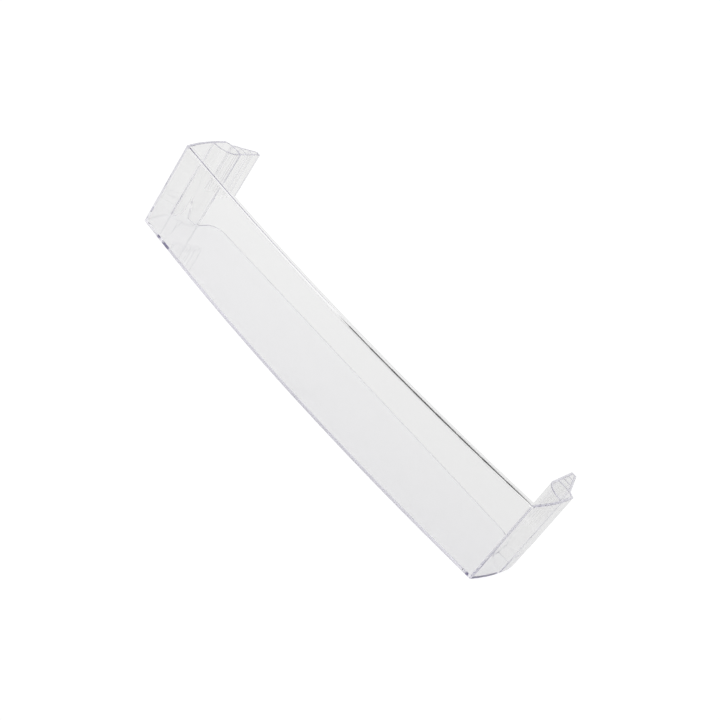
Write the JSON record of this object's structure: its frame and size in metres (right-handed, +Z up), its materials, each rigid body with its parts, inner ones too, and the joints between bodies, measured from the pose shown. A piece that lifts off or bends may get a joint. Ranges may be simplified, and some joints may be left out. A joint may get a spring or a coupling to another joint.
{
  "type": "fridge door shelf",
  "caption": "Clear moulded fridge door shelf: a low open tray with a bowed front panel and turned-in lip, end pockets that drop over the door's lugs, and ribbed hooks behind their upper parts.",
  "frame": {"origin": "middle of the shelf's footprint box, on its underside", "axes": "+X along the shelf to the right as seen from the front, -Y out of the bowed front panel, +Y towards the door and the hooks, +Z up"},
  "size_m": [0.466, 0.106, 0.088],
  "materials": {
    "clear_plastic": "polished, clear"
  },
  "bodies": {
    "root": {"door_shelf": "clear_plastic"}
  },
  "joints": []
}
